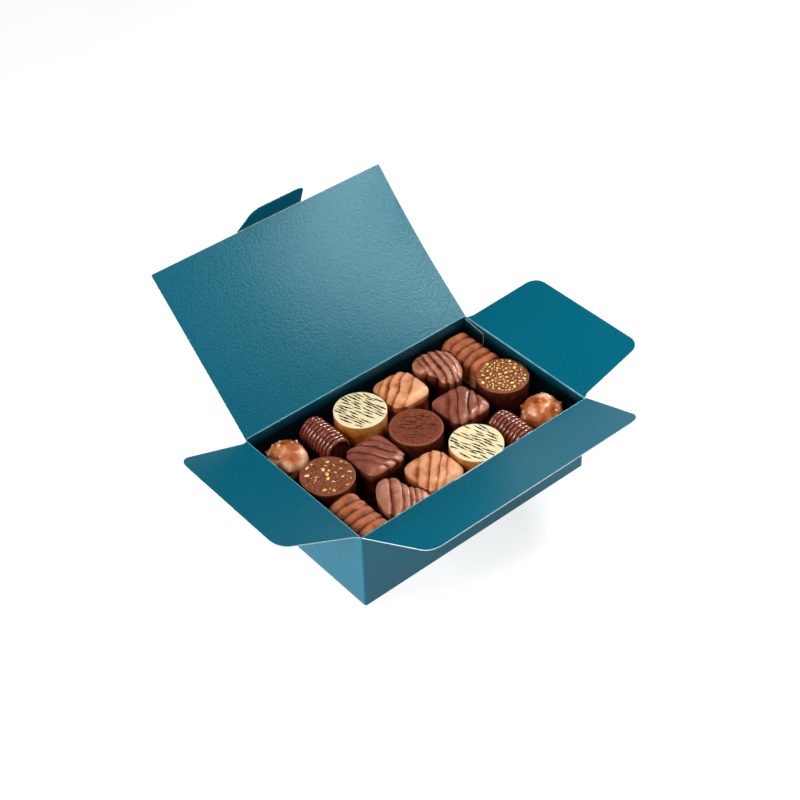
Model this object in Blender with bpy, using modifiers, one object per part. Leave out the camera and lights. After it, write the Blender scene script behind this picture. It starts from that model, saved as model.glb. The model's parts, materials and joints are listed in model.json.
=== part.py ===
"""An open carton of chocolate pralines.

A folding carton of coloured board stands open. Its lid leans back on the rear crease, with a small tuck
tongue folded at its free edge, and its front flap and two side flaps are folded outwards. The upper layer
of pralines shows inside. Units are metres and +Z is up. +X runs along the long side, and -Y faces the
front. The origin lies on the underside of the carton, at the middle of its floor.
"""

import math
import random
from dataclasses import dataclass
from typing import Callable

import bmesh
import bpy
from mathutils import Vector

MM = 0.001

# Carton
LENGTH = 160 * MM
WIDTH = 99 * MM
HEIGHT = 50 * MM
BOARD = 0.5 * MM
CORNER_RADIUS = 1.2 * MM
SIDE_DROP = 0.8 * MM  # the side walls end lower, so that their flaps fold in below the front flap
FOLD_RISE = 0.45 * MM  # from the top of a wall to the fold line of its flap
CLEARANCE = 0.3 * MM  # between pieces that touch in the real carton
TAB_WIDTH = 16 * MM
TAB_DROP = 2.4 * MM
SLIT_WIDTH = 34 * MM
SLIT_DEPTH = 0.9 * MM

# Lid and tongue
LID_DEPTH = 102.2 * MM
LID_LEAN = 42.2  # degrees above level, at rest
TONGUE_GAP = 0.5 * MM
TONGUE_ROOT = 45 * MM
TONGUE_TIP = 35 * MM
TONGUE_DEPTH = 21.5 * MM
TONGUE_CORNER = 7 * MM
TONGUE_FOLD = 79  # degrees from the plane of the lid

# Flaps
FLAP_CORNER = 8 * MM
SIDE_FLAP_DEPTH = 50.4 * MM
FRONT_FLAP_DEPTH = 50 * MM
FRONT_FLAP_TAPER = 7.2 * MM
SIDE_FLAP_TAPER = 7.5 * MM
SIDE_FLAP_NOTCH = (3.1 * MM, 4 * MM)
LEFT_RISE = 23.5
RIGHT_RISE = 8.5
FRONT_RISE = 24.5

# Pralines
LAYER_FOOT = 27 * MM  # height of the upper layer's undersides
ROUND_RADIUS = 15 * MM
ROUND_HEIGHT = 18 * MM
DRAFT = 0.2 * MM  # moulded sides widen by this much towards the foot
ROUND_STEPS = 36
OUTLINE_POINTS = 180
CREST_SPAN = 0.82  # the part of a dome's breadth that has crests
RELIEF = 1.0 * MM  # how far the crests of a dome stand proud
ROW_SHARES = (0, 0.03, 0.1, 0.22, 0.38, 0.62, 0.78, 0.9, 0.97, 1)
ARC_STEPS = 5
SEED = 17


def clear_scene():
    """Removes the startup objects."""
    for obj in list(bpy.data.objects):
        bpy.data.objects.remove(obj, do_unlink=True)


def collection(name):
    """A new collection in the scene."""
    made = bpy.data.collections.new(name)
    bpy.context.scene.collection.children.link(made)
    return made


def material(name, colour, roughness, metallic=0.0):
    """A Principled material of one colour."""
    made = bpy.data.materials.new(name)
    made.use_nodes = True
    shader = made.node_tree.nodes["Principled BSDF"]
    shader.inputs["Base Color"].default_value = (*colour, 1)
    shader.inputs["Roughness"].default_value = roughness
    shader.inputs["Metallic"].default_value = metallic
    return made


def mesh_object(name, build, finish, group):
    """An object whose mesh is filled in by build(bm), shaded smooth but for its sharp edges."""
    bm = bmesh.new()
    build(bm)
    bmesh.ops.recalc_face_normals(bm, faces=bm.faces)
    mesh = bpy.data.meshes.new(name)
    bm.to_mesh(mesh)
    bm.free()
    mesh.shade_smooth()
    mesh.set_sharp_from_angle(angle=math.radians(35))
    mesh.materials.append(finish)
    obj = bpy.data.objects.new(name, mesh)
    group.objects.link(obj)
    return obj


def helper(obj):
    """Marks an object that only cuts or joins another."""
    obj.hide_render = True
    obj.display_type = "WIRE"
    return obj


def boolean(obj, other, operation):
    """Adds an exact Boolean with another object."""
    modifier = obj.modifiers.new(f"{operation.lower()} {other.name}", "BOOLEAN")
    modifier.operation = operation
    modifier.solver = "EXACT"
    modifier.object = other


def block(low, high):
    """A build function for a box between two corners."""

    def build(bm):
        bmesh.ops.create_cube(bm, size=1)
        for vert in bm.verts:
            vert.co = Vector([a + (c + 0.5) * (b - a) for a, b, c in zip(low, high, vert.co)])

    return build


def rounded(corners):
    """The outline through corners (x, y, radius), each turned by an arc where its radius isn't 0."""
    points = []
    for i, (x, y, radius) in enumerate(corners):
        here = Vector((x, y))
        before = (Vector(corners[i - 1][:2]) - here).normalized()
        after = (Vector(corners[(i + 1) % len(corners)][:2]) - here).normalized()
        if not radius:
            points.append((x, y))
            continue
        half = before.angle(after) / 2
        centre = here + (before + after).normalized() * radius / math.sin(half)
        start = here + before * radius / math.tan(half) - centre
        end = here + after * radius / math.tan(half) - centre
        sweep = start.angle_signed(end)
        for k in range(ARC_STEPS + 1):
            turn = -sweep * k / ARC_STEPS
            cos, sin = math.cos(turn), math.sin(turn)
            points.append(
                (centre.x + start.x * cos - start.y * sin, centre.y + start.x * sin + start.y * cos)
            )
    return points


# Carton


def carton(finish, group, helpers):
    """The walls and floor, one sheet of board folded into an open box and glued at a tab."""

    def sheet(bm):
        block((-LENGTH / 2, -WIDTH / 2, 0), (LENGTH / 2, WIDTH / 2, HEIGHT))(bm)
        top = [face for face in bm.faces if face.calc_center_median().z > HEIGHT - MM]
        bmesh.ops.delete(bm, geom=top, context="FACES")
        upright = [edge for edge in bm.edges if abs(edge.verts[0].co.z - edge.verts[1].co.z) > MM]
        bmesh.ops.bevel(bm, geom=upright, offset=CORNER_RADIUS, segments=3, profile=0.5, affect="EDGES")

    made = mesh_object("carton", sheet, finish, group)
    shell = made.modifiers.new("board", "SOLIDIFY")
    shell.thickness = BOARD
    shell.offset = -1
    shell.use_even_offset = True
    for side, name in ((-1, "cut_left"), (1, "cut_right")):
        near, far = sorted((side * (LENGTH / 2 - 2 * BOARD), side * (LENGTH / 2 + BOARD)))
        half = WIDTH / 2 - CORNER_RADIUS
        cut = block((near, -half, HEIGHT - SIDE_DROP), (far, half, HEIGHT + MM))
        boolean(made, helper(mesh_object(name, cut, finish, helpers)), "DIFFERENCE")
    boolean(made, helper(glue_tab(finish, helpers)), "UNION")
    boolean(made, helper(slit_lip(finish, helpers)), "UNION")
    return made


def glue_tab(finish, helpers):
    """The tab of the rear wall, glued flat inside the right wall, with its top edge falling away."""
    inner = LENGTH / 2 - 2 * BOARD
    rear = WIDTH / 2 - BOARD / 2
    top = HEIGHT - SIDE_DROP - BOARD

    def build(bm):
        block((inner, rear - TAB_WIDTH, BOARD / 2), (inner + 1.5 * BOARD, rear, top))(bm)
        for vert in bm.verts:
            if vert.co.z > top / 2 and vert.co.y < rear - MM:
                vert.co.z -= TAB_DROP

    return mesh_object("glue_tab", build, finish, helpers)


def slit_lip(finish, helpers):
    """The edge of the front wall that stands in the slit for the tongue, cut clear of the flap."""
    low = (-SLIT_WIDTH / 2, -WIDTH / 2, HEIGHT - 4 * BOARD)
    high = (SLIT_WIDTH / 2, -WIDTH / 2 + BOARD, HEIGHT + FOLD_RISE)
    return mesh_object("slit_lip", block(low, high), finish, helpers)


# Folding panels


@dataclass(frozen=True)
class Panel:
    """A flat panel that folds on a crease: heading turns its outward side from +Y, in degrees."""

    name: str
    heading: float
    rise: float
    distance: float
    height: float
    corners: tuple


def mirrored(half):
    """The whole outline of a panel from its right half, which runs from the crease outwards."""
    return tuple(half) + tuple((-x, y, radius) for x, y, radius in reversed(half))


def side_panel(name, heading, rise):
    """A side flap, notched at its crease and narrower at its tip."""
    half = (
        (WIDTH / 2 - CORNER_RADIUS - CLEARANCE, 0, 0),
        (WIDTH / 2 - SIDE_FLAP_NOTCH[0], SIDE_FLAP_NOTCH[1], 2 * MM),
        (WIDTH / 2 - SIDE_FLAP_TAPER, SIDE_FLAP_DEPTH, FLAP_CORNER),
    )
    fold = HEIGHT - SIDE_DROP + FOLD_RISE
    return Panel(name, heading, rise, (LENGTH - BOARD) / 2, fold, mirrored(half))


def front_panel():
    """The front flap, with the slit for the tongue cut into its crease."""
    half = (
        (SLIT_WIDTH / 2 + CLEARANCE, SLIT_DEPTH, 0),
        (SLIT_WIDTH / 2 + CLEARANCE, 0, 0),
        (LENGTH / 2 - CLEARANCE, 0, 0),
        (LENGTH / 2 - FRONT_FLAP_TAPER, FRONT_FLAP_DEPTH, FLAP_CORNER),
    )
    distance = (WIDTH - BOARD) / 2
    return Panel("front_flap", 180, FRONT_RISE, distance, HEIGHT + FOLD_RISE, mirrored(half))


def lid_panel():
    """The lid, as wide as the carton."""
    half = (
        (LENGTH / 2 - CLEARANCE, 0, 0),
        (LENGTH / 2 - CLEARANCE, LID_DEPTH - TONGUE_GAP, MM),
    )
    distance = (WIDTH - BOARD) / 2
    return Panel("lid", 0, LID_LEAN, distance, HEIGHT + FOLD_RISE, mirrored(half))


def plate(name, corners, finish, group):
    """A flat piece of board: a filled outline with half the board's thickness on each side."""
    points = rounded(corners)
    curve = bpy.data.curves.new(name, "CURVE")
    curve.dimensions = "2D"
    curve.fill_mode = "BOTH"
    curve.extrude = BOARD / 2
    spline = curve.splines.new("POLY")
    spline.points.add(len(points) - 1)
    for point, (x, y) in zip(spline.points, points):
        point.co = (x, y, 0, 1)
    spline.use_cyclic_u = True
    curve.materials.append(finish)
    obj = bpy.data.objects.new(name, curve)
    group.objects.link(obj)
    return obj


def hinge(name, location, heading, parent, group):
    """An empty on a fold line."""
    empty = bpy.data.objects.new(name, None)
    empty.location = location
    empty.rotation_euler = (0, 0, math.radians(heading))
    empty.parent = parent
    group.objects.link(empty)
    return empty


def folded(panel, finish, group):
    """A panel at its rest angle, carried by an empty on its crease."""
    turn = math.radians(panel.heading)
    out = Vector((-math.sin(turn), math.cos(turn), 0)) * panel.distance
    crease = hinge(f"{panel.name}_crease", out + Vector((0, 0, panel.height)), panel.heading, None, group)
    obj = plate(panel.name, panel.corners, finish, group)
    obj.rotation_euler = (math.radians(panel.rise), 0, 0)
    obj.parent = crease
    return obj


def tongue(lid, finish, group):
    """The tuck tongue, folded inwards on the free edge of the lid."""
    half = (
        (TONGUE_ROOT / 2, 0, 0),
        (TONGUE_TIP / 2, TONGUE_DEPTH, TONGUE_CORNER),
    )
    crease = hinge("tongue_crease", (0, LID_DEPTH, 0), 0, lid, group)
    obj = plate("tongue", mirrored(half), finish, group)
    obj.rotation_euler = (math.radians(TONGUE_FOLD), 0, 0)
    obj.parent = crease
    return obj


# Pralines


def rounded_square(half, power):
    """The radius function of a square with round corners."""

    def radius(angle):
        cos, sin = abs(math.cos(angle)), abs(math.sin(angle))
        return half / (cos**power + sin**power) ** (1 / power)

    return radius


def rounded_drop(radii):
    """The radius function of a smooth closed outline through radii at equal angles from +X."""

    def radius(angle):
        place = (angle / math.tau % 1) * len(radii)
        i, t = int(place), place % 1
        a, b, c, d = (radii[(i + k) % len(radii)] for k in (-1, 0, 1, 2))
        rest = (2 * a - 5 * b + 4 * c - d) * t**2 + (3 * b - a - 3 * c + d) * t**3
        return 0.5 * (2 * b + (c - a) * t + rest)

    return radius


@dataclass(frozen=True)
class Dome:
    """A moulded praline with a crowned top and crests that cross it and end in scallops."""

    radius: Callable
    shoulder: float
    crown: float
    slant: float  # direction of the crests from +X, in degrees
    crests: int
    depth: float

    def level(self, spot):
        """0 at the centre and 1 at the outline."""
        return spot.length / self.radius(math.atan2(spot.y, spot.x))

    def rows(self):
        """For each row along the crests: its two end points and how far it stands proud, from 0 to 1."""
        along = Vector((math.cos(math.radians(self.slant)), math.sin(math.radians(self.slant))))
        across = Vector((-along.y, along.x))
        turns = [math.tau * i / OUTLINE_POINTS for i in range(OUTLINE_POINTS + 1)]
        ring = [Vector((math.cos(turn), math.sin(turn))) * self.radius(turn) for turn in turns]
        ring = [(spot.dot(along), spot.dot(across)) for spot in ring]
        low, high = min(spot[1] for spot in ring), max(spot[1] for spot in ring)
        crested = [(CREST_SPAN * (i / self.crests - 1), i % 2) for i in range(2 * self.crests + 1)]
        border = [(-0.985, 0), (-0.93, 0)]
        shares = border + crested + [(-share, proud) for share, proud in reversed(border)]
        found = []
        for share, proud in shares:
            height = low + (high - low) * (share + 1) / 2
            ends = [
                a[0] + (b[0] - a[0]) * (height - a[1]) / (b[1] - a[1])
                for a, b in zip(ring, ring[1:])
                if (a[1] < height) != (b[1] < height)
            ]
            found.append((along * min(ends) + across * height, along * max(ends) + across * height, proud))
        return found

    def build(self, bm):
        """Fills the mesh, with the foot at height 0."""
        grid = []
        for start, end, proud in self.rows():
            row = []
            for share in ROW_SHARES:
                spot = start.lerp(end, share)
                level = min(1, self.level(spot))
                height = self.shoulder + self.crown * (1 - level**2.6) ** 0.7
                fade = min(1, (1 - level) / 0.12)
                row.append(bm.verts.new((*spot, height + self.depth * proud * fade)))
            grid.append((row, proud))
        for (one, _), (two, _) in zip(grid, grid[1:]):
            for i in range(len(one) - 1):
                bm.faces.new((one[i], one[i + 1], two[i + 1], two[i]))
        proudness = {row[k]: proud for row, proud in grid for k in (0, -1)}
        rim = [*grid[0][0], *(row[-1] for row, _ in grid[1:-1])]
        rim += [*grid[-1][0][::-1], *(row[0] for row, _ in grid[-2:0:-1])]
        for height, grow, scallop in ((0.7 * self.shoulder, 0.7 * DRAFT, 0.6), (0, DRAFT, 0)):
            ring = []
            for vert in rim:
                away = vert.co.xy.normalized() * (grow + scallop * self.depth * proudness.get(vert, 0))
                ring.append(bm.verts.new((vert.co.x + away.x, vert.co.y + away.y, height)))
                proudness[ring[-1]] = 0
            for i in range(len(rim)):
                j = (i + 1) % len(rim)
                bm.faces.new((rim[i], rim[j], ring[j], ring[i]))
            rim = ring
        bm.faces.new(rim)


def turned(name, profile, segments, finish, group):
    """A body of revolution about Z from a profile that runs from the top down its outer side."""
    mesh = bpy.data.meshes.new(name)
    points = [(radius, 0, height) for radius, height in profile]
    mesh.from_pydata(points, [(i, i + 1) for i in range(len(points) - 1)], [])
    mesh.materials.append(finish)
    obj = bpy.data.objects.new(name, mesh)
    group.objects.link(obj)
    screw = obj.modifiers.new("turn", "SCREW")
    screw.steps = segments
    screw.render_steps = segments
    screw.use_smooth_shade = True
    screw.use_merge_vertices = True
    screw.merge_threshold = 0.00001
    return obj


def round_profile(lip):
    """The side view of a round praline, with an edge that stands up by lip above its flat top."""
    top, edge = ROUND_HEIGHT, 0.6 * MM
    return (
        (0, top - lip),
        (ROUND_RADIUS - 2 * MM, top - lip),
        (ROUND_RADIUS - 1.1 * MM, top),
        (ROUND_RADIUS - edge, top),
        (ROUND_RADIUS - 0.15 * MM, top - 0.2 * MM),
        (ROUND_RADIUS, top - edge),
        (ROUND_RADIUS + DRAFT, 0),
        (0, 0),
    )


def plain_round(name, finish, group):
    """A round praline with a thin lip round its flat top."""
    return turned(name, round_profile(0.25 * MM), ROUND_STEPS, finish, group)


def smooth_round(name, finish, group):
    """A round praline with a flat top."""
    top, edge = ROUND_HEIGHT, 0.7 * MM
    profile = [(0, top), (ROUND_RADIUS - edge, top)]
    profile += [(ROUND_RADIUS - 0.2 * MM, top - 0.2 * MM), (ROUND_RADIUS, top - edge)]
    profile += [(ROUND_RADIUS + DRAFT, 0), (0, 0)]
    return turned(name, profile, ROUND_STEPS, finish, group)


def as_mesh(obj):
    """Replaces an object's mesh and modifiers by its evaluated mesh."""
    bpy.context.view_layer.update()
    graph = bpy.context.evaluated_depsgraph_get()
    obj.data = bpy.data.meshes.new_from_object(obj.evaluated_get(graph))
    obj.modifiers.clear()
    obj.data.shade_smooth()
    obj.data.set_sharp_from_angle(angle=math.radians(35))
    return obj


def specked_round(name, finish, group, seed):
    """A flat round praline with small flakes standing out of its top."""
    obj = as_mesh(smooth_round(name, finish, group))
    draw = random.Random(SEED + seed)
    flakes = collection(f"{name}_flakes")
    spots = []
    while len(spots) < 20:
        spot = Vector((draw.uniform(-1, 1), draw.uniform(-1, 1))) * (ROUND_RADIUS - 2 * MM)
        if spot.length > ROUND_RADIUS - 2.2 * MM or any((spot - other).length < 3.2 * MM for other in spots):
            continue
        spots.append(spot)
        turn = draw.uniform(0, math.pi)

        def flake(bm):
            bmesh.ops.create_icosphere(bm, subdivisions=1, radius=1)
            for vert in bm.verts:
                x, y, z = vert.co.x * 1.1 * MM, vert.co.y * 0.6 * MM, vert.co.z * 0.45 * MM
                cos, sin = math.cos(turn), math.sin(turn)
                vert.co = (spot.x + x * cos - y * sin, spot.y + x * sin + y * cos, ROUND_HEIGHT + z)

        mesh_object(f"{name}_flake_{len(spots)}", flake, finish, flakes)
    union = obj.modifiers.new("flakes", "BOOLEAN")
    union.operation = "UNION"
    union.operand_type = "COLLECTION"
    union.solver = "EXACT"
    union.collection = flakes
    as_mesh(obj)
    for piece in list(flakes.objects):
        bpy.data.objects.remove(piece, do_unlink=True)
    bpy.data.collections.remove(flakes)
    return obj


def nut_ball(name, finish, group, seed):
    """A ball with chopped nuts under its coat: rounded bumps of uneven size, and a flat foot."""
    radius, lift = 11.6 * MM, 8.6 * MM
    draw = random.Random(SEED + seed)
    bumps = []
    for _ in range(38):
        way = Vector([draw.gauss(0, 1) for _ in range(3)]).normalized()
        bumps.append((way, draw.uniform(0.4, 2.1) * MM, draw.uniform(16, 70)))

    def build(bm):
        bmesh.ops.create_uvsphere(bm, u_segments=34, v_segments=16, radius=1)
        for vert in bm.verts:
            way = vert.co.normalized()
            grow = max(size * math.exp(sharp * (way.dot(spot) - 1)) for spot, size, sharp in bumps)
            vert.co = way * (radius + grow)
            vert.co.z = max(vert.co.z + lift, 0)

    return mesh_object(name, build, finish, group)


def ridged_log(name, finish, group):
    """A log that lies along Y, with fine rings round it and rounded ends."""
    half, radius, rings, groove, stretch = 14 * MM, 8.7 * MM, 10, 0.85 * MM, 1.05
    reach = half - 0.8 * MM

    def envelope(place):
        return radius * math.sqrt(1 - 0.42 * abs(place / half) ** 5)

    profile = [(0, half), (envelope(half) - 2.6 * MM, half)]
    for i in range(2 * rings + 1):
        place = reach * (1 - i / rings)
        profile.append((envelope(place) - (0 if i % 2 else groove), place))
    profile += [(envelope(half) - 2.6 * MM, -half), (0, -half)]
    obj = as_mesh(turned(name, profile, 22, finish, group))
    for vert in obj.data.vertices:
        x, y, z = vert.co
        vert.co = (x, z, (radius - y) * stretch)
    return obj


def striped_log(name, finish, group):
    """A bar with an arched top, crossed by grooves that part it into overlapping lobes."""
    half_width, half_length, side, arch = 10 * MM, 15.2 * MM, 10.4 * MM, 6.2 * MM
    lobes, arch_steps = 5, 9
    stations = []
    for i in range(lobes):
        for share, depth in ((0.04, 1.0), (0.25, 0.25), (0.6, 0), (0.9, 0.35)):
            stations.append((-half_length + 2 * half_length * (i + share) / lobes, depth))
    stations[0] = (-half_length, 1.2)
    stations.append((half_length, 1.2))

    def section(along, depth):
        inset = 0.75 * MM * depth
        width = half_width - 0.5 * inset
        points = [(-half_width - DRAFT, along, 0), (-width, along, side - inset)]
        for k in range(1, arch_steps):
            angle = math.pi * (1 - k / arch_steps)
            rise = arch * math.sin(angle) ** 0.75
            points.append((width * math.cos(angle), along, side + rise - inset))
        points += [(width, along, side - inset), (half_width + DRAFT, along, 0)]
        return points

    def build(bm):
        levels = [[bm.verts.new(p) for p in section(along, depth)] for along, depth in stations]
        bm.faces.new(levels[0])
        bm.faces.new(levels[-1][::-1])
        for one, two in zip(levels, levels[1:]):
            for i in range(len(one)):
                j = (i + 1) % len(one)
                bm.faces.new((one[i], one[j], two[j], two[i]))

    return mesh_object(name, build, finish, group)


DROP_RADII = tuple(r * MM for r in (10.8, 13, 15.2, 15.8, 17, 15.6, 9.8, 10, 14.5, 15, 12, 10.6))
DROP = rounded_drop(DROP_RADII)
DOMES = {
    "milk_square_back": Dome(rounded_square(13.1 * MM, 3.4), 14.2 * MM, 3.4 * MM, 26, 5, RELIEF),
    "milk_square_front": Dome(rounded_square(13.1 * MM, 3.4), 14.2 * MM, 3.4 * MM, 52, 5, RELIEF),
    "dark_square_left": Dome(rounded_square(12.9 * MM, 3.8), 14.8 * MM, 2.8 * MM, 137, 5, RELIEF),
    "dark_square_right": Dome(rounded_square(12.9 * MM, 3.8), 14.8 * MM, 2.8 * MM, 47, 5, RELIEF),
    "drop_back": Dome(DROP, 13.8 * MM, 3.8 * MM, 84, 4, RELIEF),
    "drop_front": Dome(DROP, 13.8 * MM, 3.8 * MM, 56, 5, RELIEF),
}

# Where each praline stands: x and y in millimetres, and its turn in degrees.
PLACES = {
    "nut_ball_left": (-64.3, 34.2, 0),
    "ridged_log_left": (-39.3, 33, 0),
    "white_round_left": (-14.6, 31.6, 0),
    "milk_square_back": (15.4, 32.2, 0),
    "drop_back": (45.6, 31.6, 0),
    "striped_log_back": (68.2, 31.8, 0),
    "specked_round_left": (-60.9, 2.7, 0),
    "dark_square_left": (-30.2, 0.2, 0),
    "plain_round": (-0.9, 0.2, 0),
    "dark_square_right": (31.4, -0.2, 0),
    "specked_round_right": (63.6, 0.2, 0),
    "striped_log_front": (-65.2, -28.3, 0),
    "drop_front": (-41, -31.4, 180),
    "milk_square_front": (-14.1, -29.4, 0),
    "white_round_right": (15.2, -30.8, 0),
    "ridged_log_right": (41.2, -32.2, 180),
    "nut_ball_right": (64.1, -30.9, 140),
}


def pralines(finishes, group):
    """The upper layer, each piece in its place."""
    for number, (name, (x, y, turn)) in enumerate(PLACES.items()):
        if name.startswith("nut_ball"):
            obj = nut_ball(name, finishes["milk"], group, number)
        elif name.startswith("ridged_log"):
            obj = ridged_log(name, finishes["dark"], group)
        elif name.startswith("striped_log"):
            obj = striped_log(name, finishes["milk"], group)
        elif name.startswith("white_round"):
            obj = smooth_round(name, finishes["white"], group)
        elif name.startswith("specked_round"):
            obj = specked_round(name, finishes["dark"], group, number)
        elif name == "plain_round":
            obj = plain_round(name, finishes["dark"], group)
        else:
            finish = finishes["milk" if name.startswith("milk") else "dark"]
            obj = mesh_object(name, DOMES[name].build, finish, group)
        obj.location = (x * MM, y * MM, LAYER_FOOT)
        obj.rotation_euler = (0, 0, math.radians(turn))


def layer_support(finish, group):
    """The plain block under the upper layer, in place of what can't be seen there."""
    half_x, half_y = LENGTH / 2 - 4 * BOARD, WIDTH / 2 - 3 * BOARD
    low = (-half_x, -half_y, BOARD + CLEARANCE)
    high = (half_x, half_y, LAYER_FOOT - CLEARANCE)
    return mesh_object("layer_support", block(low, high), finish, group)


def main():
    """Builds the carton, its folding panels and the pralines."""
    clear_scene()
    parts = collection("praline_box")
    helpers = collection("helpers")
    board = material("board", (0.02, 0.13, 0.19), 0.5)
    finishes = {
        "milk": material("milk_chocolate", (0.42, 0.16, 0.07), 0.35),
        "dark": material("dark_chocolate", (0.09, 0.025, 0.015), 0.3),
        "white": material("white_chocolate", (0.85, 0.66, 0.36), 0.4),
    }
    carton(board, parts, helpers)
    lid = folded(lid_panel(), board, parts)
    tongue(lid, board, parts)
    folded(front_panel(), board, parts)
    folded(side_panel("left_flap", 90, LEFT_RISE), board, parts)
    folded(side_panel("right_flap", -90, RIGHT_RISE), board, parts)
    layer_support(material("card", (0.02, 0.02, 0.02), 0.8), parts)
    pralines(finishes, parts)


if __name__ == "__main__":
    main()
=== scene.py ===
"""Looks of an open folding carton of chocolate pralines.

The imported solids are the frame: each praline and each panel of board keeps the place, the size and the
form of its node. The carton is petrol-coloured pearlescent board with bare cut edges. The pralines are
moulded, enrobed or decorated chocolate. Units are metres, +Z is up and -Y faces the front flap.
"""

import json
import logging
import math
import random
from dataclasses import dataclass
from enum import Enum
from typing import Any, Callable, Sequence

import bmesh
import bpy
import numpy as np
from mathutils import Matrix, Vector, noise


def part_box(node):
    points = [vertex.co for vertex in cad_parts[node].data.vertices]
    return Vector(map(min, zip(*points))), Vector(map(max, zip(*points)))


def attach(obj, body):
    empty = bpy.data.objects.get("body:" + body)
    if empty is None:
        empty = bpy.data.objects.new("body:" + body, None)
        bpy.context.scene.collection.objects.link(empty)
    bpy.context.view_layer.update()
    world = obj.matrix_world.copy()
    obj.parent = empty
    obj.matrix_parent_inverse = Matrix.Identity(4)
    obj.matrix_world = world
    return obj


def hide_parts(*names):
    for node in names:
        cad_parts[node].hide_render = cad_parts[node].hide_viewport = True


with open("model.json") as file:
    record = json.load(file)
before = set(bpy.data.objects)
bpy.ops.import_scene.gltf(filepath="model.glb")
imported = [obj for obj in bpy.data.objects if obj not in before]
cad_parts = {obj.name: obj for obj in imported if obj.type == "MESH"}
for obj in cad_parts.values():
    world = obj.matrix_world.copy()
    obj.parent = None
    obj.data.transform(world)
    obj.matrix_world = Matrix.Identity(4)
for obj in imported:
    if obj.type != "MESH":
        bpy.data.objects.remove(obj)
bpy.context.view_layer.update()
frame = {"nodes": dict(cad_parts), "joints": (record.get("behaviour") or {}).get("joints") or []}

log = logging.getLogger("praline_box")

MM = 0.001
BOARD = 0.5 * MM
CARTON_HEIGHT = 50 * MM
TAB_EDGE = 33.3 * MM  # the glue tab's free edge, along Y
SEED = 17  # the same as in the solids, so that the bumps of a ball stay where they are
FACING = 0.9  # two unit vectors whose product is more than this face the same way
NOISE_SPAN = {"From Min": 0.3, "From Max": 0.7}  # where most values of a noise texture lie

Colour = tuple[float, float, float, float]
Number = float | np.ndarray
Radius = Callable[[np.ndarray], np.ndarray]
Materials = dict[str, bpy.types.Material]


# Shared helpers


def linear(code: str) -> Colour:
    """Turns an sRGB hex colour to linear light.

    Args:
        code: the colour as "#rrggbb".

    Returns:
        Red, green, blue and an alpha of 1.
    """
    parts = [int(code[i : i + 2], 16) / 255 for i in (1, 3, 5)]
    red, green, blue = (c / 12.92 if c <= 0.04045 else ((c + 0.055) / 1.055) ** 2.4 for c in parts)
    return (red, green, blue, 1.0)


def feed(tree: bpy.types.NodeTree, node: bpy.types.Node, inputs: dict[str | int, Any]) -> None:
    """Sets a node's own inputs and links the others.

    Args:
        tree: the node's tree.
        node: the node.
        inputs: a value, a hex colour or an output socket for each named or numbered input.
    """
    for key, value in inputs.items():
        if isinstance(value, bpy.types.NodeSocket):
            tree.links.new(value, node.inputs[key])
        else:
            node.inputs[key].default_value = linear(value) if isinstance(value, str) else value


def add(
    tree: bpy.types.NodeTree,
    kind: str,
    inputs: dict[str | int, Any] | None = None,
    stops: Sequence[tuple[float, str]] = (),
    **settings: Any,
) -> bpy.types.Node:
    """Adds one shader node with its settings and links.

    Args:
        tree: the material's node tree.
        kind: the node's type name.
        inputs: a value, a hex colour or an output socket for each named or numbered input.
        stops: the places of a ramp's colours, from 0 to 1, and the colours as hex.
        settings: attributes of the node.

    Returns:
        The new node.
    """
    made = tree.nodes.new(kind)
    for key, value in settings.items():
        setattr(made, key, value)
    feed(tree, made, inputs or {})
    if stops:
        elements = made.color_ramp.elements
        while len(elements) < len(stops):
            elements.new(1.0)
        for element, (position, code) in zip(elements, stops):
            element.position = position
            element.color = linear(code)
    return made


def blank_material(name: str) -> tuple[bpy.types.Material, bpy.types.NodeTree, bpy.types.Node]:
    """Makes a material that holds a Principled shader alone.

    Args:
        name: the material's name.

    Returns:
        The material, its node tree and its shader.
    """
    made = bpy.data.materials.new(name)
    made.use_nodes = True
    tree = made.node_tree
    return made, tree, tree.nodes["Principled BSDF"]


def smoothstep(low: float, high: float, value: np.ndarray) -> np.ndarray:
    """0 below low, 1 above high, and a smooth rise between them."""
    share = np.clip((value - low) / (high - low), 0, 1)
    return share * share * (3 - 2 * share)


def turned(x: Number, y: Number, degrees: float) -> tuple[Number, Number]:
    """Turns places in plan about the origin, counter-clockwise.

    Args:
        x: places along X.
        y: places along Y.
        degrees: the angle.

    Returns:
        The new places along X and along Y.
    """
    cos, sin = math.cos(math.radians(degrees)), math.sin(math.radians(degrees))
    return x * cos - y * sin, x * sin + y * cos


def wander(points: np.ndarray, size: float, offset: float = 0.0) -> np.ndarray:
    """Smooth noise from about -1 to 1.

    Args:
        points: places, as an array whose last axis holds x, y and z.
        size: the width of one wave, in the places' unit.
        offset: moves the noise, so that two pieces differ.

    Returns:
        One value for each place.
    """
    flat = points.reshape(-1, 3) / size
    found = [noise.noise(Vector((x + offset, y, z))) for x, y, z in flat]
    return np.array(found).reshape(points.shape[:-1])


def set_relief(mesh: bpy.types.Mesh, values: np.ndarray) -> None:
    """Keeps how far each point stands proud, from 0 to 1: the chocolate paints shade and highlight from it.

    Args:
        mesh: the mesh.
        values: one value for each point.
    """
    layer = mesh.attributes.new("relief", "FLOAT", "POINT")
    layer.data.foreach_set("value", values.astype(np.float32))


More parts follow.
